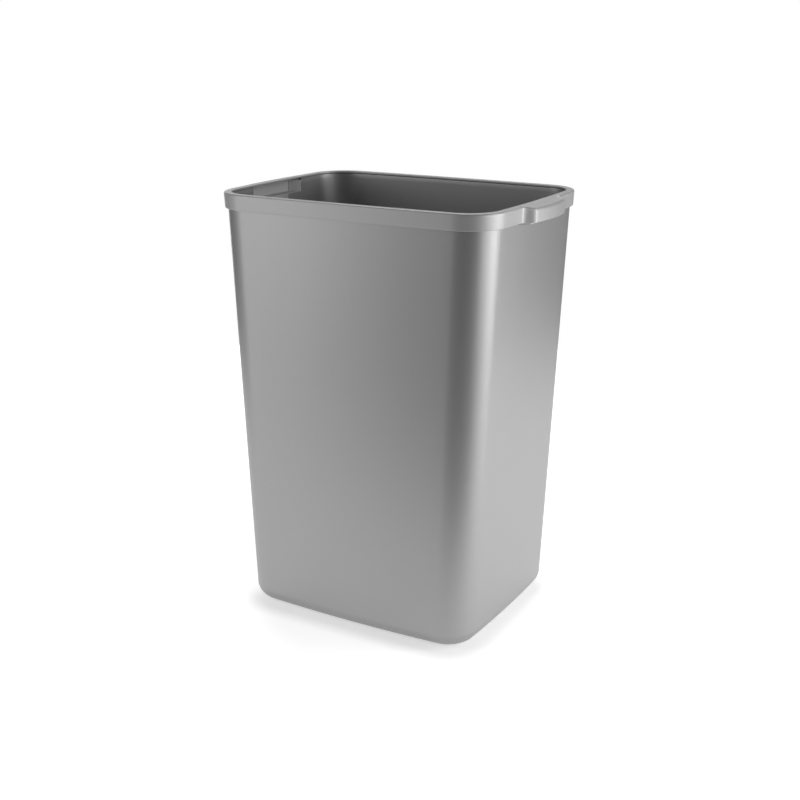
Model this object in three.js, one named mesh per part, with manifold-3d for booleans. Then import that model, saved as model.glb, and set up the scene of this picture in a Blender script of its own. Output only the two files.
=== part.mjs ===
// Rectangular office wastebasket: a tapered plastic shell on four rubber feet, with a lift-off rim that
// holds the bag. The rim bulges out into a hollow grip at each short end, closed from inside by an insert.
// Millimetres, +Z up. Origin on the floor under the middle of the bin; X runs along the long side.
import * as THREE from "three";
import { mergeVertices } from "three/addons/utils/BufferGeometryUtils.js";
import Module from "manifold-3d";

// ---- Driving dimensions ------------------------------------------------------------------------

const HEIGHT = 500;
const FIT_GAP = 0.3;

// Plan outlines: four long, slightly bowed sides joined by four tangent corner arcs.
const RIM_PLAN = {
  halfLength: 177.5,
  halfWidth: 131.3,
  cornerRadius: 44.5,
  sideRadius: 4000,      // bow of the two long sides
  endRadius: 1650,       // bow of the two short ends
};

// The shell's outer face where the rim's skirt ends, and what its taper would reach at the floor.
const SHELL_TOP_PLAN = {
  halfLength: 173.05,
  halfWidth: 126.85,
  cornerRadius: 40,
  sideRadius: 4000,
  endRadius: 1650,
};
const SHELL_BASE_PLAN = {
  halfLength: 151,
  halfWidth: 123.9,
  cornerRadius: 37.5,
  sideRadius: 1865,
  endRadius: 1770,
};

const RIM = {
  skirtBottom: 482.3,    // height of the skirt's lower edge
  topWidth: 9.1,         // flat top, from the opening to the outer face
  topThickness: 2.3,
  skirtThickness: 2,
  skirtTaper: 0.8,       // the skirt leans in by this much at its lower edge
  openingEdge: 0.8,      // rounding of the opening's upper edge
  outerEdge: 2,          // rounding of the outer upper edge
  flatWidth: 4.5,        // flat strip beside the opening that stays level over the grips
  lowerEdge: 0.6,        // rounding of the skirt's lower edge
  innerEdge: 0.8,        // bevel where the skirt meets the top, inside
};

const GRIP = {
  depth: 12.7,           // how far the middle of the grip stands out beyond the plain skirt
  bow: 3,                // the face falls back by this much towards its ends
  halfWidth: 43.5,       // to the middle of the blend back into the skirt
  blend: 14,
  edge: 3.5,             // rounding of the grip's upper edge
  valley: 0.8,           // shallow trough between the opening's edge and the grip's ridge
  ridgeDrop: 2.2,        // the top falls by this much from the opening to the ridge
};

const SHELL = {
  base: 1.5,             // height of the underside, held up by the feet
  top: 497.4,
  wall: 2.5,
  floor: 3.2,
  edgeRadius: 19,        // rounding between the walls and the base
  notchStart: 160,       // the cutter for a grip's notch runs from this X outwards, past the wall
  notchEnd: 185,
};

const INSERT = {
  halfWidth: 48.5,       // where the pocket starts at the wall
  faceHalfWidth: 39.5,   // where its sloping ends meet the back plate, at the top
  footHalfWidth: 38.5,   // and at the pocket's floor
  wallPlane: 170.4,      // X of the shell's inner face at the pocket
  depth: 11.6,           // from the wall plane to the middle of the back plate
  bow: 0.8,
  thickness: 1.2,
  lean: 0.5,             // the back plate leans outwards by this much at its foot
  floorTop: 482,
  top: 494.9,
};

// Upright beads that frame the insert's back plate, one beside each sloping end.
const BEAD = { width: 1.4, height: 0.9, lap: 0.8 };

const CLIP = {
  halfWidth: 18.5,
  tipHalfWidth: 16.5,
  bottom: 465,
  thickness: 1.6,
  lean: 0.75,            // the clip follows the shell's wall, which tapers inwards below it
  bridgeLap: 2,          // how far the bridge over the wall laps into the pocket's floor
};

const FOOT = { x: 108, y: 80, radius: 9, height: 2.9, edge: 0.8, socketClearance: 0.3 };

const RIB = {
  width: 1.8,
  outerInset: 1.8,
  innerInset: 3.35,
  bottom: 484,
  top: 498.4,
  places: [0.85, 1.5, 2.25, 2.75],    // along each quarter of the rim's outline
};

// Steps along a quarter of an outline: half a short end, a corner, half a long side. The rim's short end
// is divided into the grip's face, its blend and the plain skirt beyond.
const RIM_END_STEPS = { face: 9, blend: 10, plain: 3 };
const RIM_CORNER_STEPS = 8;
const RIM_SIDE_STEPS = 3;
const SHELL_STEPS = { end: 4, corner: 8, side: 4 };
const EDGE_STEPS = 6;
const WALL_STEPS = 4;
const RIM_EDGE_STEPS = 4;
const PLATE_STEPS = 12;
const FOOT_SIDES = 28;
const SOCKET_SIDES = 32;

// ---- Outlines ----------------------------------------------------------------------------------

const mix = (a, b, t) => a + (b - a) * t;

// Centre of the corner arc that is tangent inside to both long arcs, and the angles where it meets them.
function cornerOf(plan) {
  const endCentre = plan.halfLength - plan.endRadius;
  const sideCentre = plan.halfWidth - plan.sideRadius;
  const endReach = plan.endRadius - plan.cornerRadius;
  const sideReach = plan.sideRadius - plan.cornerRadius;
  const apart = Math.hypot(endCentre, sideCentre);
  const along = (apart ** 2 + endReach ** 2 - sideReach ** 2) / (2 * apart);
  const across = Math.sqrt(endReach ** 2 - along ** 2);
  const direction = [-endCentre / apart, sideCentre / apart];
  const x = endCentre + direction[0] * along - direction[1] * across;
  const y = direction[1] * along + direction[0] * across;
  const start = Math.atan2(y, x - endCentre);
  const end = Math.atan2(y - sideCentre, x);
  return { x, y, endCentre, sideCentre, start, end };
}

// Point of the first quarter of an outline. place runs 0 to 1 along half the short end, 1 to 2 round the
// corner and 2 to 3 along half the long side; inset moves the point inwards, square to the outline.
function quarterPoint(plan, place, inset) {
  const corner = cornerOf(plan);
  let centre = [corner.endCentre, 0];
  let radius = plan.endRadius;
  let angle = corner.start * place;
  if (place > 2) {
    centre = [0, corner.sideCentre];
    radius = plan.sideRadius;
    angle = mix(corner.end, Math.PI / 2, place - 2);
  } else if (place > 1) {
    centre = [corner.x, corner.y];
    radius = plan.cornerRadius;
    angle = mix(corner.start, corner.end, place - 1);
  }
  const normal = [Math.cos(angle), Math.sin(angle)];
  const reach = radius - inset;
  return { x: centre[0] + reach * normal[0], y: centre[1] + reach * normal[1], normal };
}

// The place on a short end that lies at distance y from its middle.
const endPlace = (plan, y) => Math.asin(y / plan.endRadius) / cornerOf(plan).start;

// The places of a quarter from evenly divided stretches, each given as the place it runs to and its steps.
function quarterPlaces(stretches) {
  const places = [0];
  for (const [end, count] of stretches) {
    const start = places[places.length - 1];
    for (let i = 1; i <= count; i += 1) places.push(mix(start, end, i / count));
  }
  return places;
}

// Calls visit(place, signX, signY) once for each point of the whole outline, anticlockwise from +X.
function roundOutline(places, visit) {
  const back = [...places].reverse();
  const ring = [];
  places.slice(0, -1).forEach((place) => ring.push(visit(place, 1, 1)));
  back.slice(0, -1).forEach((place) => ring.push(visit(place, -1, 1)));
  places.slice(0, -1).forEach((place) => ring.push(visit(place, -1, -1)));
  back.slice(0, -1).forEach((place) => ring.push(visit(place, 1, -1)));
  return ring;
}

// ---- Solids ------------------------------------------------------------------------------------

const wasm = await Module();
wasm.setup();

function solidOf(geometry) {
  const bare = geometry.clone();
  bare.deleteAttribute("normal");
  bare.deleteAttribute("uv");
  const merged = mergeVertices(bare, 1e-4);
  return new wasm.Manifold(new wasm.Mesh({
    numProp: 3,
    vertProperties: new Float32Array(merged.attributes.position.array),
    triVerts: new Uint32Array(merged.index.array),
  }));
}

function geometryOf(solid) {
  const mesh = solid.getMesh();
  const geometry = new THREE.BufferGeometry();
  geometry.setAttribute("position", new THREE.BufferAttribute(new Float32Array(mesh.vertProperties), 3));
  geometry.setIndex(new THREE.BufferAttribute(new Uint32Array(mesh.triVerts), 1));
  geometry.computeVertexNormals();
  return geometry;
}

// Skin through rings of equally many points. The end rings are capped flat, or joined to each other.
function skin(rings, joinEnds) {
  const count = rings[0].length;
  const points = rings.flat();
  const triangles = [];
  const bands = joinEnds ? rings.length : rings.length - 1;
  for (let i = 0; i < bands; i += 1) {
    const low = i * count;
    const high = ((i + 1) % rings.length) * count;
    for (let j = 0; j < count; j += 1) {
      const next = (j + 1) % count;
      triangles.push(low + j, low + next, high + next, low + j, high + next, high + j);
    }
  }
  if (!joinEnds) {
    const last = (rings.length - 1) * count;
    const flat = (ring) => ring.map((point) => new THREE.Vector2(point[0], point[1]));
    THREE.ShapeUtils.triangulateShape(flat(rings[0]), []).forEach(([a, b, c]) => triangles.push(c, b, a));
    THREE.ShapeUtils.triangulateShape(flat(rings[rings.length - 1]), [])
      .forEach(([a, b, c]) => triangles.push(last + a, last + b, last + c));
  }
  const geometry = new THREE.BufferGeometry();
  geometry.setAttribute("position", new THREE.Float32BufferAttribute(points.flat(), 3));
  geometry.setIndex(triangles);
  return geometry;
}

function boxSolid(low, high) {
  const box = new THREE.BoxGeometry(high[0] - low[0], high[1] - low[1], high[2] - low[2]);
  box.translate((low[0] + high[0]) / 2, (low[1] + high[1]) / 2, (low[2] + high[2]) / 2);
  return solidOf(box);
}

// Upright cylinder about the Z axis at (x, y).
function cylinderSolid(radius, x, y, bottom, top) {
  const cylinder = new THREE.CylinderGeometry(radius, radius, top - bottom, SOCKET_SIDES);
  cylinder.rotateX(Math.PI / 2);
  cylinder.translate(x, y, (bottom + top) / 2);
  return solidOf(cylinder);
}

const CORNERS = [[1, 1], [-1, 1], [-1, -1], [1, -1]];

// ---- Shell -------------------------------------------------------------------------------------

const SHELL_PLACES = quarterPlaces([[1, SHELL_STEPS.end], [2, SHELL_STEPS.corner], [3, SHELL_STEPS.side]]);

// Ring of the shell's walls at height z, moved in by inset. The plan grows evenly from the base upwards.
function shellRing(z, inset) {
  const rise = z / RIM.skirtBottom;
  return roundOutline(SHELL_PLACES, (place, signX, signY) => {
    const low = quarterPoint(SHELL_BASE_PLAN, place, inset);
    const high = quarterPoint(SHELL_TOP_PLAN, place, inset);
    return [signX * mix(low.x, high.x, rise), signY * mix(low.y, high.y, rise), z];
  });
}

// Rings round the bottom edge, from the flat base up to where the wall starts.
function edgeRings(base, radius, wallInset) {
  const rings = [];
  for (let i = 0; i <= EDGE_STEPS; i += 1) {
    const angle = (i / EDGE_STEPS) * (Math.PI / 2);
    rings.push(shellRing(base + radius * (1 - Math.cos(angle)), wallInset + radius * (1 - Math.sin(angle))));
  }
  return rings;
}

function wallRings(bottom, top, inset) {
  const rings = [];
  for (let i = 1; i <= WALL_STEPS; i += 1) rings.push(shellRing(mix(bottom, top, i / WALL_STEPS), inset));
  return rings;
}

function shellSolid() {
  const innerRadius = SHELL.edgeRadius - SHELL.wall;
  const floorTop = SHELL.base + SHELL.floor;
  const outside = edgeRings(SHELL.base, SHELL.edgeRadius, 0);
  const outerWall = wallRings(SHELL.base + SHELL.edgeRadius, SHELL.top, 0);
  const innerWall = wallRings(floorTop + innerRadius, SHELL.top, SHELL.wall).reverse();
  const inside = edgeRings(floorTop, innerRadius, SHELL.wall).reverse();
  let solid = solidOf(skin([...outside, ...outerWall, ...innerWall, ...inside], false));
  const notchBottom = INSERT.floorTop - INSERT.thickness - FIT_GAP;
  const notchHalf = INSERT.halfWidth + INSERT.thickness + FIT_GAP;
  for (const side of [-1, 1]) {
    const x = [side * SHELL.notchStart, side * SHELL.notchEnd].sort((a, b) => a - b);
    solid = solid.subtract(boxSolid([x[0], -notchHalf, notchBottom], [x[1], notchHalf, HEIGHT]));
  }
  const socketTop = FOOT.height + FOOT.socketClearance;
  const socketRadius = FOOT.radius + FOOT.socketClearance;
  for (const [signX, signY] of CORNERS) {
    solid = solid.subtract(cylinderSolid(socketRadius, signX * FOOT.x, signY * FOOT.y, 0, socketTop));
  }
  return solid;
}

// ---- Rim ---------------------------------------------------------------------------------------

// How far the skirt stands out at distance y from the middle of a short end: a bowed face between two blends.
function gripBulge(y) {
  const outside = GRIP.halfWidth + GRIP.blend / 2 - Math.abs(y);
  const share = Math.min(Math.max(outside / GRIP.blend, 0), 1);
  const ease = (1 - Math.cos(Math.PI * share)) / 2;
  return ease * (GRIP.depth - GRIP.bow * (y / GRIP.halfWidth) ** 2);
}

// The rim's section where the skirt stands out by bulge: [distance from the opening, height], starting at
// the skirt's lower outer edge, over the top to the opening, and back along the underside.
function rimSection(bulge) {
  const share = bulge / GRIP.depth;
  const width = RIM.topWidth + bulge;
  const edge = mix(RIM.outerEdge, GRIP.edge, share);
  const lower = width - RIM.skirtTaper * (1 - share);
  const topAt = (t) => HEIGHT - share * (GRIP.valley * Math.sin(Math.PI * t) ** 2 + GRIP.ridgeDrop * t);
  const acrossAt = (t) => mix(RIM.flatWidth, width - edge, t);
  const underAt = (t) => mix(RIM.flatWidth, width - RIM.skirtThickness - RIM.innerEdge, t);
  const section = [];
  for (const angle of [0, Math.PI / 6, Math.PI / 3, Math.PI / 2]) {
    const across = lower - RIM.lowerEdge * (1 - Math.sin(angle));
    section.push([across, RIM.skirtBottom + RIM.lowerEdge * (1 - Math.cos(angle))]);
  }
  for (let i = 0; i <= RIM_EDGE_STEPS; i += 1) {
    const angle = (i / RIM_EDGE_STEPS) * (Math.PI / 2);
    section.push([width - edge + edge * Math.cos(angle), topAt(1) - edge + edge * Math.sin(angle)]);
  }
  for (const t of [0.75, 0.5, 0.25, 0]) section.push([acrossAt(t), topAt(t)]);
  for (const angle of [0, Math.PI / 4, Math.PI / 2]) {
    const turn = RIM.openingEdge;
    section.push([turn - turn * Math.sin(angle), HEIGHT - turn + turn * Math.cos(angle)]);
  }
  section.push([0, HEIGHT - RIM.topThickness]);
  for (const t of [0, 1 / 3, 2 / 3, 1]) section.push([underAt(t), topAt(t) - RIM.topThickness]);
  section.push([width - RIM.skirtThickness, topAt(1) - RIM.topThickness - RIM.innerEdge]);
  section.push([lower - RIM.skirtThickness, RIM.skirtBottom]);
  return section;
}

// Upright rib on the skirt's inner face, which keeps the skirt centred on the shell.
function ribSolid(place, signX, signY) {
  const outer = quarterPoint(RIM_PLAN, place, RIB.outerInset);
  const inner = quarterPoint(RIM_PLAN, place, RIB.innerInset);
  const box = new THREE.BoxGeometry(RIB.innerInset - RIB.outerInset, RIB.width, RIB.top - RIB.bottom);
  box.rotateZ(Math.atan2(signY * outer.normal[1], signX * outer.normal[0]));
  const x = signX * (outer.x + inner.x) / 2;
  const y = signY * (outer.y + inner.y) / 2;
  box.translate(x, y, (RIB.bottom + RIB.top) / 2);
  return solidOf(box);
}

function rimSolid() {
  const places = quarterPlaces([
    [endPlace(RIM_PLAN, GRIP.halfWidth - GRIP.blend / 2), RIM_END_STEPS.face],
    [endPlace(RIM_PLAN, GRIP.halfWidth + GRIP.blend / 2), RIM_END_STEPS.blend],
    [1, RIM_END_STEPS.plain],
    [2, RIM_CORNER_STEPS],
    [3, RIM_SIDE_STEPS],
  ]);
  const sections = roundOutline(places, (place, signX, signY) => {
    const bulge = place < 1 ? gripBulge(quarterPoint(RIM_PLAN, place, 0).y) : 0;
    return rimSection(bulge).map(([across, z]) => {
      const point = quarterPoint(RIM_PLAN, place, RIM.topWidth - across);
      return [signX * point.x, signY * point.y, z];
    });
  });
  const rings = sections[0].map((_, k) => sections.map((section) => section[k]));
  let solid = solidOf(skin(rings, true));
  for (const place of RIB.places) {
    for (const [signX, signY] of CORNERS) solid = solid.add(ribSolid(place, signX, signY));
  }
  return solid;
}

// ---- Grip inserts ------------------------------------------------------------------------------

// Plan line of the pocket's wall at the +X end, from -Y to +Y: a bowed plate as wide as given, whose sloping
// ends run back to the shell's wall. depth is measured at the plate's middle; out moves the line outwards.
function pocketLine(out, depth, plateHalfWidth) {
  const line = [[INSERT.wallPlane, -INSERT.halfWidth - out]];
  for (let i = 0; i <= PLATE_STEPS; i += 1) {
    const share = mix(-1, 1, i / PLATE_STEPS);
    const x = INSERT.wallPlane + depth - INSERT.bow * share ** 2 + out;
    line.push([x, share * (plateHalfWidth + out)]);
  }
  line.push([INSERT.wallPlane, INSERT.halfWidth + out]);
  return line;
}

// A solid between two flat polygons with the same number of points, listed anticlockwise.
function prismSolid(lowPoints, low, highPoints, high) {
  const lowRing = lowPoints.map(([x, y]) => [x, y, low]);
  const highRing = highPoints.map(([x, y]) => [x, y, high]);
  return solidOf(skin([lowRing, highRing], false));
}

function rectangle(x0, x1, halfWidth) {
  return [[x0, -halfWidth], [x1, -halfWidth], [x1, halfWidth], [x0, halfWidth]];
}

// A bead on the back plate, standing at the end that side (-1 or 1) points to.
function beadSolid(side) {
  const plate = INSERT.wallPlane + INSERT.depth - INSERT.bow;
  const ends = [side * INSERT.footHalfWidth, side * (INSERT.footHalfWidth - BEAD.width)].sort((a, b) => a - b);
  const low = [plate - INSERT.lean - BEAD.height, ends[0], INSERT.floorTop - INSERT.thickness / 2];
  return boxSolid(low, [plate + BEAD.lap, ends[1], INSERT.top]);
}

// Built at the +X end: a back plate with sloping ends, two beads, the pocket's floor and a clip that hooks
// over the wall.
function insertSolid() {
  const floorBottom = INSERT.floorTop - INSERT.thickness;
  const outer = pocketLine(INSERT.thickness, INSERT.depth, INSERT.faceHalfWidth);
  const innerFoot = pocketLine(0, INSERT.depth, INSERT.footHalfWidth).reverse();
  const innerTop = pocketLine(0, INSERT.depth - INSERT.lean, INSERT.faceHalfWidth).reverse();
  const wall = prismSolid([...outer, ...innerFoot], floorBottom, [...outer, ...innerTop], INSERT.top);
  const floor = prismSolid(outer, floorBottom, outer, INSERT.floorTop);
  const clipFace = INSERT.wallPlane - FIT_GAP;
  const clipTip = clipFace - CLIP.lean;
  const hookFoot = rectangle(clipTip - CLIP.thickness, clipTip, CLIP.tipHalfWidth);
  const hookTop = rectangle(clipFace - CLIP.thickness, clipFace, CLIP.halfWidth);
  const hook = prismSolid(hookFoot, CLIP.bottom, hookTop, floorBottom);
  const bridgePlan = rectangle(clipFace - CLIP.thickness, INSERT.wallPlane + CLIP.bridgeLap, CLIP.halfWidth);
  const bridge = prismSolid(bridgePlan, floorBottom, bridgePlan, INSERT.floorTop);
  const parts = [floor, hook, bridge, beadSolid(-1), beadSolid(1)];
  return parts.reduce((solid, part) => solid.add(part), wall);
}

// ---- Feet --------------------------------------------------------------------------------------

function footGeometry() {
  const profile = [
    [0, 0],
    [FOOT.radius - FOOT.edge, 0],
    [FOOT.radius, FOOT.edge],
    [FOOT.radius, FOOT.height],
    [0, FOOT.height],
  ].map(([x, y]) => new THREE.Vector2(x, y));
  const geometry = new THREE.LatheGeometry(profile, FOOT_SIDES);
  geometry.rotateX(Math.PI / 2);
  return geometryOf(solidOf(geometry));
}

// ---- Assembly ----------------------------------------------------------------------------------

const group = new THREE.Group();

function addPiece(name, geometry, finish) {
  const mesh = new THREE.Mesh(geometry, new THREE.MeshStandardMaterial(finish));
  mesh.name = name;
  group.add(mesh);
  return mesh;
}

const shellPlastic = { color: 0x969696, roughness: 0.42, metalness: 0.35 };
const rimPlastic = { color: 0xa0a0a0, roughness: 0.4, metalness: 0.35 };
const insertPlastic = { color: 0x9b9b9b, roughness: 0.45, metalness: 0.3 };
const footRubber = { color: 0x2b2b2b, roughness: 0.9, metalness: 0 };

addPiece("body_shell", geometryOf(shellSolid()), shellPlastic);
addPiece("rim_frame", geometryOf(rimSolid()), rimPlastic);
const insertRight = addPiece("grip_insert_right", geometryOf(insertSolid()), insertPlastic);
const insertLeft = addPiece("grip_insert_left", insertRight.geometry.clone(), insertPlastic);
insertLeft.rotation.z = Math.PI;

for (const [signX, signY] of CORNERS) {
  const name = `foot_${signY < 0 ? "front" : "back"}_${signX < 0 ? "left" : "right"}`;
  addPiece(name, footGeometry(), footRubber).position.set(signX * FOOT.x, signY * FOOT.y, 0);
}

export default group;
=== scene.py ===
"""Looks of the wastebasket: fine meshes, materials, floor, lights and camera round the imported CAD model.

Everything is in metres, in the CAD model's frame: Z up, X along the long side, the floor at Z = 0.
"""
import math

import bmesh
import bpy
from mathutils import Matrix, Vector


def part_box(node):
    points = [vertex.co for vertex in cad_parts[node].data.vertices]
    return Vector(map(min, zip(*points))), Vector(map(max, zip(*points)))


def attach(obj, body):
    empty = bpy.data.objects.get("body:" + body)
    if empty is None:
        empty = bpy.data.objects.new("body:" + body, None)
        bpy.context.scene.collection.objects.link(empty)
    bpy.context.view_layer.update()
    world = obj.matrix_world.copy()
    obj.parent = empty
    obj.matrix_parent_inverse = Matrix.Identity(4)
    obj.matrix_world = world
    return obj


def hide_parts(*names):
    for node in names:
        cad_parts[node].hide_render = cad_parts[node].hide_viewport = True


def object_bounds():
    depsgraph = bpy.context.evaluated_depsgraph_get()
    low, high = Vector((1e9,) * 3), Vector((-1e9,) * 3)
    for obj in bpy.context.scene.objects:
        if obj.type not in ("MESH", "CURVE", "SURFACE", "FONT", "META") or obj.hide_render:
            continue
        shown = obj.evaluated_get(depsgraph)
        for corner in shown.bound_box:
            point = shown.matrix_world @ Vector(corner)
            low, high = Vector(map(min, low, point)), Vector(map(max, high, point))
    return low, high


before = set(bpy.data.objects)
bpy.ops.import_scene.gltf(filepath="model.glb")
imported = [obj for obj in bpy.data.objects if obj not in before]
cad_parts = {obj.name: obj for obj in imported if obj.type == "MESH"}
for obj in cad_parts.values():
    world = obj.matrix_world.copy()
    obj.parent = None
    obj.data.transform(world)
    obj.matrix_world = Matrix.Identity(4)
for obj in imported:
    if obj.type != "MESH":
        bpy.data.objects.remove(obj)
cad_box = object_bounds()

MM = 0.001

# ---- Sizes, from the CAD model and its driving dimensions ---------------------------------------

rim_low, rim_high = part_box("rim_frame")
foot_low, foot_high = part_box("foot_front_right")
shell_low, shell_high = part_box("body_shell")

SKIRT_BOTTOM = rim_low.z
RIM_TOP = rim_high.z
SHELL_BASE = shell_low.z
SHELL_TOP = shell_high.z

# Plan outlines: four long bowed sides joined by four tangent corner arcs.
RIM_PLAN = dict(length=177.5 * MM, width=rim_high.y, corner=44.5 * MM, side=4.0, end=1.65)
SHELL_TOP_PLAN = dict(length=173.05 * MM, width=126.85 * MM, corner=40 * MM, side=4.0, end=1.65)
SHELL_BASE_PLAN = dict(length=151 * MM, width=123.9 * MM, corner=37.5 * MM, side=1.865, end=1.77)

WALL = 2.5 * MM
FLOOR = 3.2 * MM
BASE_EDGE = 19 * MM          # rounding between the walls and the base
SHELL_LIP = 0.9 * MM         # rounding of the shell's upper edge

RIM_WIDTH = 9.1 * MM         # flat top, from the opening to the skirt's face
RIM_THICKNESS = 2.3 * MM
SKIRT_THICKNESS = 2 * MM
SKIRT_TAPER = 0.8 * MM       # the skirt's lower edge stands this much further in than its top
RIM_FLAT = 4.5 * MM          # level strip beside the opening
OPENING_EDGE = 0.8 * MM      # rounding of the top beside the opening
OUTER_EDGE = 2 * MM          # rounding between the top and the skirt's face
LOWER_EDGE = 0.6 * MM        # rounding of the skirt's lower edge
INNER_EDGE = 0.8 * MM        # rounding of the corner inside the skirt
OPENING_CHAMFER = 0.3 * MM   # of the opening's lower corner
SKIRT_CHAMFER = 0.2 * MM     # of the skirt's lower inner edge

GRIP_DEPTH = rim_high.x - RIM_PLAN["length"]
GRIP_BOW = 3 * MM            # the grip's front falls back by this much towards its ends
GRIP_HALF = 43.5 * MM        # to the middle of the blend back into the skirt
GRIP_BLEND = 14 * MM
GRIP_EDGE = 3.5 * MM         # rounding of its outer edge
GRIP_VALLEY = 0.8 * MM       # depth of the hollow across its top
GRIP_RIDGE_DROP = 2.2 * MM   # the top falls by this much from the opening to the grip's outer edge

FIT_GAP = 0.3 * MM           # between pieces that stand close
POCKET_PLANE = 170.4 * MM    # X of the wall that the pocket opens from
POCKET_HALF = 48.5 * MM      # half width of the pocket at that wall
POCKET_DEPTH = 11.6 * MM
POCKET_BOW = 0.8 * MM        # the pocket is this much shallower at its back plate's ends than in the middle
POCKET_LEAN = 0.5 * MM       # and this much shallower at the top than at the floor
PLATE_HALF = 39.5 * MM       # half width of the back plate at its top
PLATE_FOOT_HALF = 38.5 * MM
BEAD_WIDTH = 1.4 * MM        # of the upright beads that frame the back plate
BEAD_HEIGHT = 0.9 * MM
BEAD_LAP = 0.8 * MM          # how far the beads run into the plate
INSERT_THICKNESS = 1.2 * MM
INSERT_FLOOR_TOP = 482 * MM
INSERT_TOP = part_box("grip_insert_right")[1].z
INSERT_EDGE = 0.35 * MM      # rounding of all its edges
CLIP_THICKNESS = 1.6 * MM
CLIP_HALF = 18.5 * MM
CLIP_TIP_HALF = 16.5 * MM
CLIP_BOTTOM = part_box("grip_insert_right")[0].z
CLIP_LEAN = 0.75 * MM        # the clip follows the shell's wall, which tapers inwards below it
CLIP_LAP = 2 * MM            # how far the clip's bridge runs into the pocket's floor

RIB_WIDTH = 1.8 * MM
RIB_OUTER = 1.8 * MM         # insets of a rib's faces from the rim's plan
RIB_INNER = 3.35 * MM
RIB_RISE = 1.7 * MM          # from the skirt's lower edge to a rib's foot
RIB_DROP = 1.6 * MM          # from the rim's top to a rib's top, inside the rim's thickness
RIB_PLACES = (0.85, 1.5, 2.25, 2.75)

FOOT_EDGE = 0.8 * MM
FOOT_CHAMFER = 0.2 * MM      # of the upper edge, inside the socket
GROOVE_DEPTH = 0.25 * MM
GROOVE_RINGS = ((0.30, 0.48), (0.60, 0.78))  # inner and outer edges, as shares of the foot's radius
GROOVE_SLOPE = 0.04
SOCKET_CUT = 1 * MM          # the cutter of a foot's socket starts this far below the floor

CORNERS = ((1, 1), (-1, 1), (-1, -1), (1, -1))
FULL_TURN = 2 * math.pi
QUARTER_TURN = math.pi / 2

SMOOTH_LIMIT = math.radians(28)  # a sharper fold between two faces is a crease
BEVEL_LIMIT = math.radians(30)
FLAT_LIMIT = math.radians(0.2)
WELD = 0.005 * MM            # points nearer than this are joined


def mix(a, b, t):
    return a + (b - a) * t


def steps(a, b, count):
    """count + 1 numbers from a to b."""
    return [mix(a, b, i / count) for i in range(count + 1)]


def circle_points(x, y, radius, count):
    turns = [FULL_TURN * i / count for i in range(count)]
    return [(x + radius * math.cos(turn), y + radius * math.sin(turn)) for turn in turns]


# ---- Outlines -----------------------------------------------------------------------------------


def corner_of(plan):
    """Centre of the corner arc tangent inside to the two long arcs, and the angles where it meets them."""
    end_centre = plan["length"] - plan["end"]
    side_centre = plan["width"] - plan["side"]
    end_reach = plan["end"] - plan["corner"]
    side_reach = plan["side"] - plan["corner"]
    apart = math.hypot(end_centre, side_centre)
    along = (apart**2 + end_reach**2 - side_reach**2) / (2 * apart)
    across = math.sqrt(end_reach**2 - along**2)
    step_x, step_y = -end_centre / apart, side_centre / apart
    x = end_centre + step_x * along - step_y * across
    y = step_y * along + step_x * across
    return x, y, end_centre, side_centre, math.atan2(y, x - end_centre), math.atan2(y - side_centre, x)


def quarter_point(plan, place, inset=0.0):
    """Point and outward normal in the first quarter. place is 0 to 1 along half the short end, 1 to 2 round
    the corner, and 2 to 3 along half the long side."""
    x, y, end_centre, side_centre, start, finish = corner_of(plan)
    if place <= 1:
        centre, radius, angle = (end_centre, 0), plan["end"], start * place
    elif place <= 2:
        centre, radius, angle = (x, y), plan["corner"], mix(start, finish, place - 1)
    else:
        centre, radius, angle = (0, side_centre), plan["side"], mix(finish, QUARTER_TURN, place - 2)
    normal = Vector((math.cos(angle), math.sin(angle)))
    return Vector(centre) + (radius - inset) * normal, normal


def end_place(plan, y):
    """The place on the short end that lies at distance y from its middle."""
    return math.asin(y / plan["end"]) / corner_of(plan)[4]


def quarter_places(*stretches):
    """Places for (first, last, count) stretches that follow on from each other."""
    places = [stretches[0][0]]
    for first, last, count in stretches:
        places += steps(first, last, count)[1:]
    return places


def round_outline(places):
    """(place, sign of x, sign of y) for each point of the whole outline, anticlockwise from +X."""
    back = places[::-1]
    ring = [(place, 1, 1) for place in places[:-1]]
    ring += [(place, -1, 1) for place in back[:-1]]
    ring += [(place, -1, -1) for place in places[:-1]]
    ring += [(place, 1, -1) for place in back[:-1]]
    return ring


# ---- Mesh helpers -------------------------------------------------------------------------------


def object_from(bm, name):
    """Turns a bmesh into a linked object with smooth faces and sharp creases."""
    bmesh.ops.recalc_face_normals(bm, faces=bm.faces)
    smooth_faces(bm)
    mesh = bpy.data.meshes.new(name)
    bm.to_mesh(mesh)
    bm.free()
    piece = bpy.data.objects.new(name, mesh)
    bpy.context.scene.collection.objects.link(piece)
    return piece


def smooth_faces(bm):
    """Shades every face smooth, up to the creases."""
    for face in bm.faces:
        face.smooth = True
    for edge in bm.edges:
        edge.smooth = len(edge.link_faces) == 2 and edge.calc_face_angle(0) < SMOOTH_LIMIT


def apply_modifiers(piece):
    """Replaces the piece's mesh by what its modifiers make of it, and marks its creases afresh."""
    graph = bpy.context.evaluated_depsgraph_get()
    mesh = bpy.data.meshes.new_from_object(piece.evaluated_get(graph), depsgraph=graph)
    piece.modifiers.clear()
    old = piece.data
    piece.data = mesh
    bpy.data.meshes.remove(old)
    mesh.name = piece.name
    bm = bmesh.new()
    bm.from_mesh(mesh)
    bmesh.ops.remove_doubles(bm, verts=bm.verts, dist=WELD)
    bmesh.ops.dissolve_degenerate(bm, edges=bm.edges, dist=WELD)
    smooth_faces(bm)
    bm.to_mesh(mesh)
    bm.free()


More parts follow.
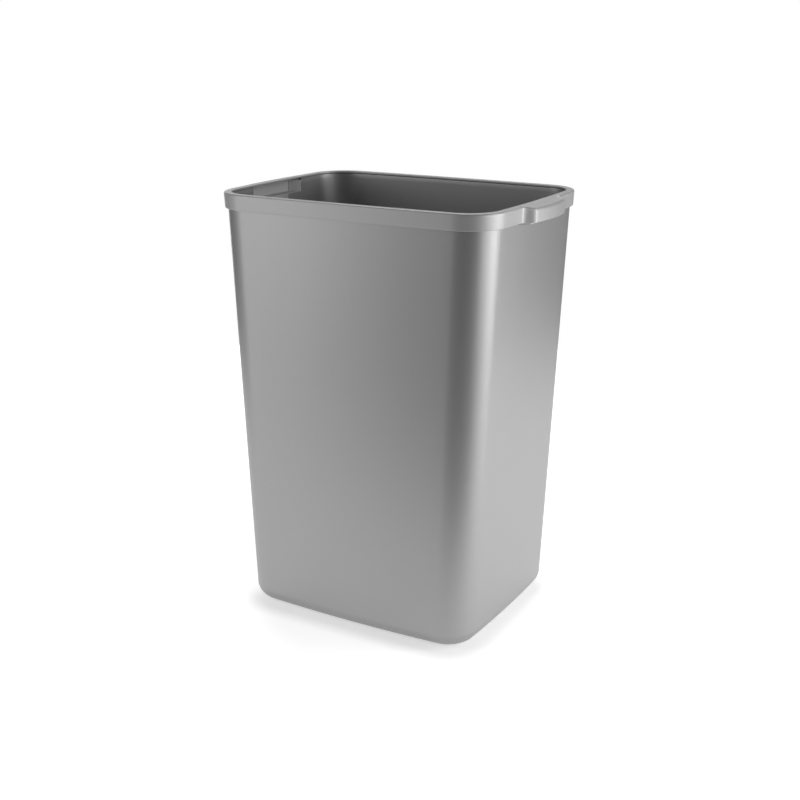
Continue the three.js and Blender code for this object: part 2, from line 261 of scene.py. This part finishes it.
def combine(piece, tools, operation):
    """Cuts the tools from the piece, or joins them to it, and removes them."""
    for tool in tools:
        step = piece.modifiers.new(tool.name, "BOOLEAN")
        step.operation = operation
        step.solver = "EXACT"
        step.object = tool
    apply_modifiers(piece)
    for tool in tools:
        bpy.data.objects.remove(tool)


def split_bent_faces(piece):
    """Splits the faces whose corners don't lie in one plane, so that booleans and bevels keep them whole."""
    bm = bmesh.new()
    bm.from_mesh(piece.data)
    bmesh.ops.connect_verts_nonplanar(bm, faces=bm.faces, angle_limit=FLAT_LIMIT)
    bm.to_mesh(piece.data)
    bm.free()


def bevel(piece, width, segments):
    step = piece.modifiers.new("bevel", "BEVEL")
    step.width = width
    step.segments = segments
    step.limit_method = "ANGLE"
    step.angle_limit = BEVEL_LIMIT
    step.use_clamp_overlap = True
    apply_modifiers(piece)


def loft(name, rings, caps=True):
    """A closed skin through rings of equally many points, capped at its ends or joined into a loop."""
    bm = bmesh.new()
    rows = [[bm.verts.new(point) for point in ring] for ring in rings]
    pairs = list(zip(rows, rows[1:]))
    if caps:
        bm.faces.new(rows[0][::-1])
        bm.faces.new(rows[-1])
    else:
        pairs.append((rows[-1], rows[0]))
    for low, high in pairs:
        for j in range(len(low)):
            k = (j + 1) % len(low)
            bm.faces.new((low[j], low[k], high[k], high[j]))
    return object_from(bm, name)


def prism(name, low_points, low, high_points, high):
    """Solid between two plans of equally many points at the heights low and high."""
    return loft(name, [[(x, y, low) for x, y in low_points], [(x, y, high) for x, y in high_points]])


# ---- Shell --------------------------------------------------------------------------------------


def shell_point(place, sign_x, sign_y, z, inset):
    """Point of the tapered wall at height z, inset from its outer face."""
    low = quarter_point(SHELL_BASE_PLAN, place, inset)[0]
    high = quarter_point(SHELL_TOP_PLAN, place, inset)[0]
    point = low.lerp(high, z / SKIRT_BOTTOM)
    return (sign_x * point.x, sign_y * point.y, z)


def edge_rows(base, radius, inset, count):
    """(height, inset) pairs up a rounded lower edge."""
    turns = steps(0, QUARTER_TURN, count)
    return [(base + radius * (1 - math.cos(a)), inset + radius * (1 - math.sin(a))) for a in turns]


def lip_rows(inset, way):
    """(height, inset) pairs up one half of the shell's rounded upper edge. way is 1 on the outer face and -1
    on the inner one."""
    rows = []
    for angle in steps(0, QUARTER_TURN, 4):
        height = SHELL_TOP - SHELL_LIP * (1 - math.sin(angle))
        rows.append((height, inset + way * SHELL_LIP * (1 - math.cos(angle))))
    return rows


def face_rows(base, radius, inset, way, notch_bottom):
    """(height, inset) pairs up one face of the wall, and the number of the pair at the notches' bottom."""
    rows = edge_rows(base, radius, inset, 12)
    rows += [(z, inset) for z in steps(base + radius, notch_bottom, 22)[1:]]
    notch_row = len(rows) - 1
    rows += [(z, inset) for z in steps(notch_bottom, SHELL_TOP - SHELL_LIP, 3)[1:-1]]
    return rows + lip_rows(inset, way), notch_row


def make_sockets():
    """Cutters for the feet's round sockets in the base."""
    radius = (foot_high.x - foot_low.x) / 2 + FIT_GAP
    sockets = []
    for sign_x, sign_y in CORNERS:
        x = sign_x * (foot_low.x + foot_high.x) / 2
        y = -sign_y * (foot_low.y + foot_high.y) / 2
        circle = circle_points(x, y, radius, 48)
        sockets.append(prism("socket", circle, -SOCKET_CUT, circle, foot_high.z + FIT_GAP))
    return sockets


def make_shell():
    """Tapered shell, with a notch in the upper edge of each short end for the grip insert."""
    notch_bottom = INSERT_FLOOR_TOP - INSERT_THICKNESS - FIT_GAP
    notch_place = end_place(SHELL_TOP_PLAN, POCKET_HALF + INSERT_THICKNESS + FIT_GAP)
    outline = round_outline(quarter_places((0, notch_place, 8), (notch_place, 1, 4), (1, 2, 18), (2, 3, 10)))

    outside, outer_row = face_rows(SHELL_BASE, BASE_EDGE, 0, 1, notch_bottom)
    inside, inner_row = face_rows(SHELL_BASE + FLOOR, BASE_EDGE - WALL, WALL, -1, notch_bottom)
    rows = outside + inside[::-1]
    first = outer_row
    last = len(rows) - 1 - inner_row

    bm = bmesh.new()
    grid = [[bm.verts.new(shell_point(*spot, z, inset)) for spot in outline] for z, inset in rows]
    count = len(outline)
    in_notch = []
    for j in range(count):
        spots = (outline[j], outline[(j + 1) % count])
        in_notch.append(all(place <= notch_place for place, _, _ in spots))
    for r in range(len(rows) - 1):
        for j in range(count):
            k = (j + 1) % count
            if not (in_notch[j] and first <= r < last):
                bm.faces.new((grid[r][j], grid[r][k], grid[r + 1][k], grid[r + 1][j]))
    for j in range(count):
        k = (j + 1) % count
        if in_notch[j]:
            bm.faces.new((grid[first][j], grid[first][k], grid[last][k], grid[last][j]))
        if in_notch[j] != in_notch[k]:
            bm.faces.new([grid[r][k] for r in range(first, last + 1)])
    bm.faces.new(grid[0])
    bm.faces.new(grid[-1])
    loose = [vert for vert in bm.verts if not vert.link_faces]
    bmesh.ops.delete(bm, geom=loose, context="VERTS")
    shell = object_from(bm, "shell")
    combine(shell, make_sockets(), "DIFFERENCE")
    return shell


# ---- Rim ----------------------------------------------------------------------------------------


def grip_bulge(y):
    """How far the skirt stands out at distance y from the middle of a short end."""
    share = min(max((GRIP_HALF + GRIP_BLEND / 2 - abs(y)) / GRIP_BLEND, 0), 1)
    ease = (1 - math.cos(math.pi * share)) / 2
    return ease * (GRIP_DEPTH - GRIP_BOW * (y / GRIP_HALF) ** 2)


def rim_section(bulge):
    """(distance from the opening, height) round the rim's section, from the skirt's lower outer edge."""
    share = bulge / GRIP_DEPTH
    width = RIM_WIDTH + bulge
    edge = mix(OUTER_EDGE, GRIP_EDGE, share)
    lower = width - SKIRT_TAPER * (1 - share)

    def top(t):
        return RIM_TOP - share * (GRIP_VALLEY * math.sin(math.pi * t) ** 2 + GRIP_RIDGE_DROP * t)

    points = []
    # The skirt's lower edge, its face and the rounded outer edge of the top.
    for a in steps(0, QUARTER_TURN, 4):
        points.append((lower - LOWER_EDGE * (1 - math.sin(a)), SKIRT_BOTTOM + LOWER_EDGE * (1 - math.cos(a))))
    side_top = top(1) - edge
    for t in steps(0, 1, 8)[1:-1]:
        points.append((mix(lower, width, t), mix(SKIRT_BOTTOM + LOWER_EDGE, side_top, t)))
    for a in steps(0, QUARTER_TURN, 9):
        points.append((width - edge * (1 - math.cos(a)), side_top + edge * math.sin(a)))
    # The top, inwards, and round the opening's edge to the underside.
    for t in steps(1, 0, 12)[1:]:
        points.append((mix(RIM_FLAT, width - edge, t), top(t)))
    for a in steps(0, QUARTER_TURN, 5):
        points.append((OPENING_EDGE * (1 - math.sin(a)), RIM_TOP - OPENING_EDGE * (1 - math.cos(a))))
    points.append((0, RIM_TOP - RIM_THICKNESS + OPENING_CHAMFER))
    points.append((OPENING_CHAMFER, RIM_TOP - RIM_THICKNESS))
    # The underside, outwards, and down the skirt's inner face.
    under_end = width - SKIRT_THICKNESS - INNER_EDGE
    for t in steps(0, 1, 8):
        points.append((mix(RIM_FLAT, under_end, t), top(t) - RIM_THICKNESS))
    for a in steps(0, QUARTER_TURN, 3)[1:]:
        across = under_end + INNER_EDGE * math.sin(a)
        points.append((across, top(1) - RIM_THICKNESS - INNER_EDGE * (1 - math.cos(a))))
    points.append((lower - SKIRT_THICKNESS, SKIRT_BOTTOM + SKIRT_CHAMFER))
    points.append((lower - SKIRT_THICKNESS + SKIRT_CHAMFER, SKIRT_BOTTOM))
    return points


def make_rib(place, sign_x, sign_y):
    """Upright rib on the skirt's inner face."""
    outer, normal = quarter_point(RIM_PLAN, place, RIB_OUTER)
    inner = quarter_point(RIM_PLAN, place, RIB_INNER)[0]
    side = Vector((-normal.y, normal.x)) * RIB_WIDTH / 2
    corners = [inner - side, outer - side, outer + side, inner + side]
    corners = [(sign_x * point.x, sign_y * point.y) for point in corners]
    if sign_x * sign_y < 0:
        corners.reverse()
    return prism("rib", corners, SKIRT_BOTTOM + RIB_RISE, corners, RIM_TOP - RIB_DROP)


def make_rim():
    """Rim frame with both grips, as one loop of sections, and the ribs inside its skirt."""
    blend_start = end_place(RIM_PLAN, GRIP_HALF - GRIP_BLEND / 2)
    blend_end = end_place(RIM_PLAN, GRIP_HALF + GRIP_BLEND / 2)
    places = quarter_places(
        (0, blend_start, 16),
        (blend_start, blend_end, 22),
        (blend_end, 1, 6),
        (1, 2, 24),
        (2, 3, 12),
    )
    sections = []
    for place, sign_x, sign_y in round_outline(places):
        bulge = grip_bulge(quarter_point(RIM_PLAN, place)[0].y) if place < 1 else 0
        section = []
        for across, z in rim_section(bulge):
            point = quarter_point(RIM_PLAN, place, RIM_WIDTH - across)[0]
            section.append((sign_x * point.x, sign_y * point.y, z))
        sections.append(section)
    rings = [[section[k] for section in sections] for k in range(len(sections[0]))]
    rim = loft("rim", rings, caps=False)
    ribs = [make_rib(place, *signs) for place in RIB_PLACES for signs in CORNERS]
    combine(rim, ribs, "UNION")
    return rim


# ---- Grip inserts -------------------------------------------------------------------------------


def pocket_line(out, depth, plate_half):
    """Plan of the pocket's wall at the +X end, from -Y to +Y: a bowed plate whose ends slope back to the
    plane of the shell's wall. out moves it outwards, to the wall's other face."""
    half = plate_half + out
    plate = [(POCKET_PLANE + depth - POCKET_BOW * t**2 + out, t * half) for t in steps(-1, 1, 24)]
    return [(POCKET_PLANE, -POCKET_HALF - out)] + plate + [(POCKET_PLANE, POCKET_HALF + out)]


def rectangle(x0, x1, half):
    return [(x0, -half), (x1, -half), (x1, half), (x0, half)]


def make_bead(side):
    """Upright bead at one end of the pocket's back plate. side is 1 towards +Y and -1 towards -Y."""
    plate = POCKET_PLANE + POCKET_DEPTH - POCKET_BOW
    face = plate - POCKET_LEAN - BEAD_HEIGHT
    back = plate + BEAD_LAP
    near, far = sorted((side * PLATE_FOOT_HALF, side * (PLATE_FOOT_HALF - BEAD_WIDTH)))
    plan = [(face, near), (back, near), (back, far), (face, far)]
    return prism("bead", plan, INSERT_FLOOR_TOP - INSERT_THICKNESS / 2, plan, INSERT_TOP)


def make_insert(name, end):
    """Pocket behind a grip, with a clip that hooks over the shell's wall. end is 1 for the +X end and -1 for
    the -X end."""
    floor_bottom = INSERT_FLOOR_TOP - INSERT_THICKNESS
    outer = pocket_line(INSERT_THICKNESS, POCKET_DEPTH, PLATE_HALF)
    low = outer + pocket_line(0, POCKET_DEPTH, PLATE_FOOT_HALF)[::-1]
    high = outer + pocket_line(0, POCKET_DEPTH - POCKET_LEAN, PLATE_HALF)[::-1]
    clip_face = POCKET_PLANE - FIT_GAP
    clip_tip = clip_face - CLIP_LEAN
    tip_plan = rectangle(clip_tip - CLIP_THICKNESS, clip_tip, CLIP_TIP_HALF)
    hook_plan = rectangle(clip_face - CLIP_THICKNESS, clip_face, CLIP_HALF)
    bridge_plan = rectangle(clip_face - CLIP_THICKNESS, POCKET_PLANE + CLIP_LAP, CLIP_HALF)

    insert = prism(name, low, floor_bottom, high, INSERT_TOP)
    split_bent_faces(insert)
    floor = prism("pocket_floor", outer, floor_bottom, outer, INSERT_FLOOR_TOP)
    hook = prism("hook", tip_plan, CLIP_BOTTOM, hook_plan, floor_bottom)
    bridge = prism("bridge", bridge_plan, floor_bottom, bridge_plan, INSERT_FLOOR_TOP)
    combine(insert, [floor, hook, bridge, make_bead(-1), make_bead(1)], "UNION")
    bevel(insert, INSERT_EDGE, 3)
    if end < 0:
        for vert in insert.data.vertices:
            vert.co.x *= -1
            vert.co.y *= -1
    return insert


# ---- Feet ---------------------------------------------------------------------------------------


def make_foot(name, centre):
    """Rubber foot with a rounded lower edge and two shallow rings moulded into its underside."""
    radius = (foot_high.x - foot_low.x) / 2
    profile = []
    for inner, outer in GROOVE_RINGS:
        profile.append((radius * inner, 0))
        profile.append((radius * (inner + GROOVE_SLOPE), GROOVE_DEPTH))
        profile.append((radius * (outer - GROOVE_SLOPE), GROOVE_DEPTH))
        profile.append((radius * outer, 0))
    for a in steps(0, QUARTER_TURN, 6):
        profile.append((radius - FOOT_EDGE * (1 - math.sin(a)), FOOT_EDGE * (1 - math.cos(a))))
    profile.append((radius, foot_high.z - FOOT_CHAMFER))
    profile.append((radius - FOOT_CHAMFER, foot_high.z))
    rings = []
    for ring_radius, z in profile:
        rings.append([(x, y, z) for x, y in circle_points(centre.x, centre.y, ring_radius, 64)])
    return loft(name, rings)


# ---- Materials ----------------------------------------------------------------------------------

# Noise cells per metre.
PIGMENT_CELLS = 2600
FLOW_CELLS = 7
GRAIN_CELLS = 1500
RUBBER_CELLS = 1800
PAPER_CELLS = 900

PIGMENT_SPREAD = 0.035       # of the plastics' tone, each way
FLOW_SPREAD = 0.015          # of their tone and roughness
GRAIN_SPREAD = 0.03          # of their roughness
FLOW_STRETCH = (1, 1, 0.25)  # the moulded flow runs upright
GRAIN_HEIGHT = 0.02 * MM
GRAIN_STRENGTH = 0.25

RUBBER_COLOUR = (0.022, 0.022, 0.024, 1)
RUBBER_ROUGHNESS = (0.7, 0.9)
RUBBER_HEIGHT = 0.05 * MM
RUBBER_STRENGTH = 0.4

WHITE = (1, 1, 1, 1)
NOISE_MIDDLE = (0.3, 0.7)    # where nearly all of a noise's values lie
MIX_FACTOR, MIX_A, MIX_B = 0, 6, 7  # a Mix node's inputs for colours
MIX_RESULT = 2


def grey(tone):
    return (tone, tone, tone, 1)


class Nodes:
    """A node tree with short calls to add and join nodes."""

    def __init__(self, name):
        self.material = bpy.data.materials.new(name)
        self.material.use_nodes = True
        self.tree = self.material.node_tree
        self.shader = self.tree.nodes["Principled BSDF"]
        self.place = self.add("ShaderNodeTexCoord").outputs["Object"]

    def add(self, kind, inputs=None, **settings):
        node = self.tree.nodes.new(kind)
        for key, value in settings.items():
            setattr(node, key, value)
        for key, value in (inputs or {}).items():
            if isinstance(value, bpy.types.NodeSocket):
                self.tree.links.new(value, node.inputs[key])
            else:
                node.inputs[key].default_value = value
        return node

    def noise(self, scale, detail=2.0, stretch=(1, 1, 1)):
        """Noise with cells of about 1 / scale metres."""
        mapping = self.add("ShaderNodeMapping", {"Vector": self.place, "Scale": stretch})
        inputs = {"Vector": mapping.outputs["Vector"], "Scale": scale, "Detail": detail}
        return self.add("ShaderNodeTexNoise", inputs).outputs["Fac"]

    def span(self, value, low, high):
        """Maps the middle of a noise's range onto low to high."""
        return self.map_range(value, *NOISE_MIDDLE, low, high)

    def map_range(self, value, from_low, from_high, to_low, to_high):
        """Maps from_low to from_high onto to_low to to_high, and holds the ends beyond them."""
        inputs = {
            "Value": value,
            "From Min": from_low,
            "From Max": from_high,
            "To Min": to_low,
            "To Max": to_high,
        }
        return self.add("ShaderNodeMapRange", inputs).outputs["Result"]

    def sum(self, a, b):
        return self.add("ShaderNodeMath", {0: a, 1: b}, operation="ADD").outputs[0]

    def link(self, value, socket):
        """Joins a value to the shader."""
        self.tree.links.new(value, self.shader.inputs[socket])

    def set(self, socket, value):
        """Sets a number or colour of the shader that is the same all over."""
        self.shader.inputs[socket].default_value = value

    def bump(self, height, strength, distance):
        """Gives the surface a relief."""
        inputs = {"Strength": strength, "Distance": distance, "Height": height}
        self.link(self.add("ShaderNodeBump", inputs).outputs["Normal"], "Normal")


def silver_plastic(name, tone, metallic, roughness):
    """Satin silver-grey plastic: metallic pigment in a moulded skin with a very fine grain."""
    nodes = Nodes(name)
    nodes.set("Metallic", metallic)
    pigment = nodes.noise(PIGMENT_CELLS, 1.0)
    flow = nodes.noise(FLOW_CELLS, 3.0, FLOW_STRETCH)
    speckle = nodes.span(pigment, -PIGMENT_SPREAD, PIGMENT_SPREAD)
    share = nodes.sum(speckle, nodes.span(flow, 1 - FLOW_SPREAD, 1 + FLOW_SPREAD))
    inputs = {MIX_FACTOR: 1.0, MIX_A: grey(tone), MIX_B: share}
    shade = nodes.add("ShaderNodeMix", inputs, data_type="RGBA", blend_type="MULTIPLY")
    nodes.link(shade.outputs[MIX_RESULT], "Base Color")
    grain = nodes.noise(GRAIN_CELLS, 2.0)
    skin = nodes.span(grain, -GRAIN_SPREAD, GRAIN_SPREAD)
    satin = nodes.span(flow, roughness - FLOW_SPREAD, roughness + FLOW_SPREAD)
    nodes.link(nodes.sum(skin, satin), "Roughness")
    nodes.bump(grain, GRAIN_STRENGTH, GRAIN_HEIGHT)
    return nodes.material


def foot_rubber(name):
    """Dull black rubber with a coarser grain."""
    nodes = Nodes(name)
    grain = nodes.noise(RUBBER_CELLS, 3.0)
    nodes.set("Base Color", RUBBER_COLOUR)
    nodes.link(nodes.span(grain, *RUBBER_ROUGHNESS), "Roughness")
    nodes.bump(grain, RUBBER_STRENGTH, RUBBER_HEIGHT)
    return nodes.material


def dress(piece, material, body, slot, *replaced):
    """Gives a piece its material, hangs it under its body and hides the CAD parts that it replaces."""
    piece.data.materials.clear()
    piece.data.materials.append(material)
    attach(piece, body)
    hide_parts(*replaced)


# ---- The pieces ---------------------------------------------------------------------------------

shell_plastic = silver_plastic("shell_plastic", tone=0.36, metallic=0.8, roughness=0.45)
rim_plastic = silver_plastic("rim_plastic", tone=0.44, metallic=0.5, roughness=0.48)
# The insert is the shell's plastic; its lighter tone is painted light that lifts the shade inside the grip
# pockets.
insert_plastic = silver_plastic("insert_plastic", tone=0.54, metallic=0.3, roughness=0.50)
rubber = foot_rubber("foot_rubber")

dress(make_shell(), shell_plastic, "bin", "shell_plastic", "body_shell")
dress(make_rim(), rim_plastic, "rim", "rim_plastic", "rim_frame")
dress(make_insert("insert_right", 1), insert_plastic, "rim", "insert_plastic", "grip_insert_right")
dress(make_insert("insert_left", -1), insert_plastic, "rim", "insert_plastic", "grip_insert_left")
for depth_word in ("front", "back"):
    for side_word in ("left", "right"):
        node = f"foot_{depth_word}_{side_word}"
        low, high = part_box(node)
        pad = make_foot(f"pad_{depth_word}_{side_word}", (low + high) / 2)
        dress(pad, rubber, "bin", "foot_rubber", node)

# ---- Floor, lights and camera -------------------------------------------------------------------

# A round table, cut off straight on the camera's side, so that the dark of the room beyond its edge is what
# the bin's near corner mirrors.
TABLE_AZIMUTH = 30
TABLE_FRONT = 0.5
TABLE_RADIUS = 1.25
TABLE_TONE = 0.85
TABLE_ROUGHNESS = (0.85, 0.95)
# The table's emission is painted light that also lights the bin from below; its fade beside the bin is a
# painted contact shadow.
TABLE_GLOW = 0.66
CONTACT_GLOW = 0.44          # of the table right beside the bin
CONTACT_REACH = 0.022        # how far from the bin it comes up to the full glow

# Upright soft boxes standing round the table, and the power of each in watts, by its azimuth in degrees.
# Azimuth 0 stands at -Y and 90 at +X.
LOW_BOX = dict(distance=1.5, middle=0.42, width=0.55, height=0.8)
HIGH_BOX = dict(distance=1.6, middle=1.3, width=0.75, height=0.8)
LOW_POWERS = {-125: 3.8, -40: 3.5, 80: 3.6, 105: 6.4, 120: 3.2}
HIGH_POWERS = {-40: 4.5, 105: 4.2, 150: 1.5, 195: 0.6}
TOP_LIGHT = dict(azimuth=210, elevation=50, distance=2.2, width=1.8, height=1.2, power=15.5)
ROOM_LIGHT = 0.16

CAMERA_AZIMUTH = 29.98
CAMERA_ELEVATION = 17.26
CAMERA_DISTANCE = 1.497
CAMERA_LENS = 56
CAMERA_SENSOR = 36
AIM_DROP = 0.002             # the camera aims this far below the object's middle


def direction(azimuth, elevation=0.0):
    """Direction from the bin towards an azimuth and an elevation in degrees."""
    turn = math.radians(azimuth)
    rise = math.radians(elevation)
    level = math.cos(rise)
    return Vector((math.sin(turn) * level, -math.cos(turn) * level, math.sin(rise)))


def painted_contact_shadow(nodes):
    """Painted glow of the table, dimmed into a painted contact shadow: it fades towards the bin's rounded
    footprint.
    """
    radius = SHELL_BASE_PLAN["corner"]
    square = (SHELL_BASE_PLAN["length"] - radius, SHELL_BASE_PLAN["width"] - radius, 0)
    spread = nodes.add("ShaderNodeVectorMath", {0: nodes.place}, operation="ABSOLUTE").outputs[0]
    beyond = nodes.add("ShaderNodeVectorMath", {0: spread, 1: square}, operation="SUBTRACT").outputs[0]
    beyond = nodes.add("ShaderNodeVectorMath", {0: beyond, 1: (0, 0, 0)}, operation="MAXIMUM").outputs[0]
    reach = nodes.add("ShaderNodeVectorMath", {0: beyond}, operation="LENGTH").outputs["Value"]
    return nodes.map_range(reach, radius, radius + CONTACT_REACH, CONTACT_GLOW, TABLE_GLOW)


def make_floor():
    front = direction(TABLE_AZIMUTH)
    side = Vector((-front.y, front.x, 0))
    cut = math.acos(TABLE_FRONT / TABLE_RADIUS)
    bm = bmesh.new()
    edge = []
    for angle in steps(cut, FULL_TURN - cut, 96):
        edge.append(bm.verts.new(TABLE_RADIUS * (front * math.cos(angle) + side * math.sin(angle))))
    bm.faces.new(edge)
    floor = object_from(bm, "floor")
    nodes = Nodes("glowing_floor_paper")
    grain = nodes.noise(PAPER_CELLS, 2.0)
    nodes.set("Base Color", grey(TABLE_TONE))
    # Painted light: the table glows, and the glow dims into a painted contact shadow beside the bin.
    nodes.set("Emission Color", WHITE)
    nodes.link(painted_contact_shadow(nodes), "Emission Strength")
    nodes.link(nodes.span(grain, *TABLE_ROUGHNESS), "Roughness")
    floor.data.materials.append(nodes.material)


def face_towards(thing, place, target):
    """Puts a lamp or camera at a place and turns it to the target."""
    thing.location = place
    thing.rotation_euler = (target - place).to_track_quat("-Z", "Y").to_euler()


def area_light(name, place, target, width, height, power):
    light = bpy.data.lights.new(name, "AREA")
    light.shape = "RECTANGLE"
    light.size = width
    light.size_y = height
    light.energy = power
    lamp = bpy.data.objects.new(name, light)
    bpy.context.scene.collection.objects.link(lamp)
    face_towards(lamp, place, target)
    lamp.visible_camera = False


def make_lights():
    for kind, powers in ((LOW_BOX, LOW_POWERS), (HIGH_BOX, HIGH_POWERS)):
        up = Vector((0, 0, kind["middle"]))
        for azimuth, power in powers.items():
            place = direction(azimuth) * kind["distance"] + up
            area_light("soft_box", place, up, kind["width"], kind["height"], power)
    middle = Vector((0, 0, RIM_TOP / 2))
    place = middle + direction(TOP_LIGHT["azimuth"], TOP_LIGHT["elevation"]) * TOP_LIGHT["distance"]
    area_light("top", place, middle, TOP_LIGHT["width"], TOP_LIGHT["height"], TOP_LIGHT["power"])


def make_world():
    """White behind the object; a dim room for everything but the camera."""
    world = bpy.data.worlds.new("studio")
    world.use_nodes = True
    tree = world.node_tree
    backdrop = tree.nodes["Background"]
    room = tree.nodes.new("ShaderNodeBackground")
    for background, strength in ((backdrop, 1.0), (room, ROOM_LIGHT)):
        background.inputs["Color"].default_value = WHITE
        background.inputs["Strength"].default_value = strength
    path = tree.nodes.new("ShaderNodeLightPath")
    blend = tree.nodes.new("ShaderNodeMixShader")
    tree.links.new(path.outputs["Is Camera Ray"], blend.inputs[0])
    tree.links.new(room.outputs[0], blend.inputs[1])
    tree.links.new(backdrop.outputs[0], blend.inputs[2])
    tree.links.new(blend.outputs[0], tree.nodes["World Output"].inputs["Surface"])
    bpy.context.scene.world = world


def make_camera():
    camera = bpy.data.cameras.new("camera")
    camera.lens = CAMERA_LENS
    camera.sensor_width = CAMERA_SENSOR
    eye = bpy.data.objects.new("camera", camera)
    bpy.context.scene.collection.objects.link(eye)
    middle = (cad_box[0] + cad_box[1]) / 2
    place = middle + direction(CAMERA_AZIMUTH, CAMERA_ELEVATION) * CAMERA_DISTANCE
    face_towards(eye, place, middle - Vector((0, 0, AIM_DROP)))
    bpy.context.scene.camera = eye


make_floor()
make_lights()
make_world()
make_camera()
bpy.context.scene.view_settings.view_transform = "Standard"
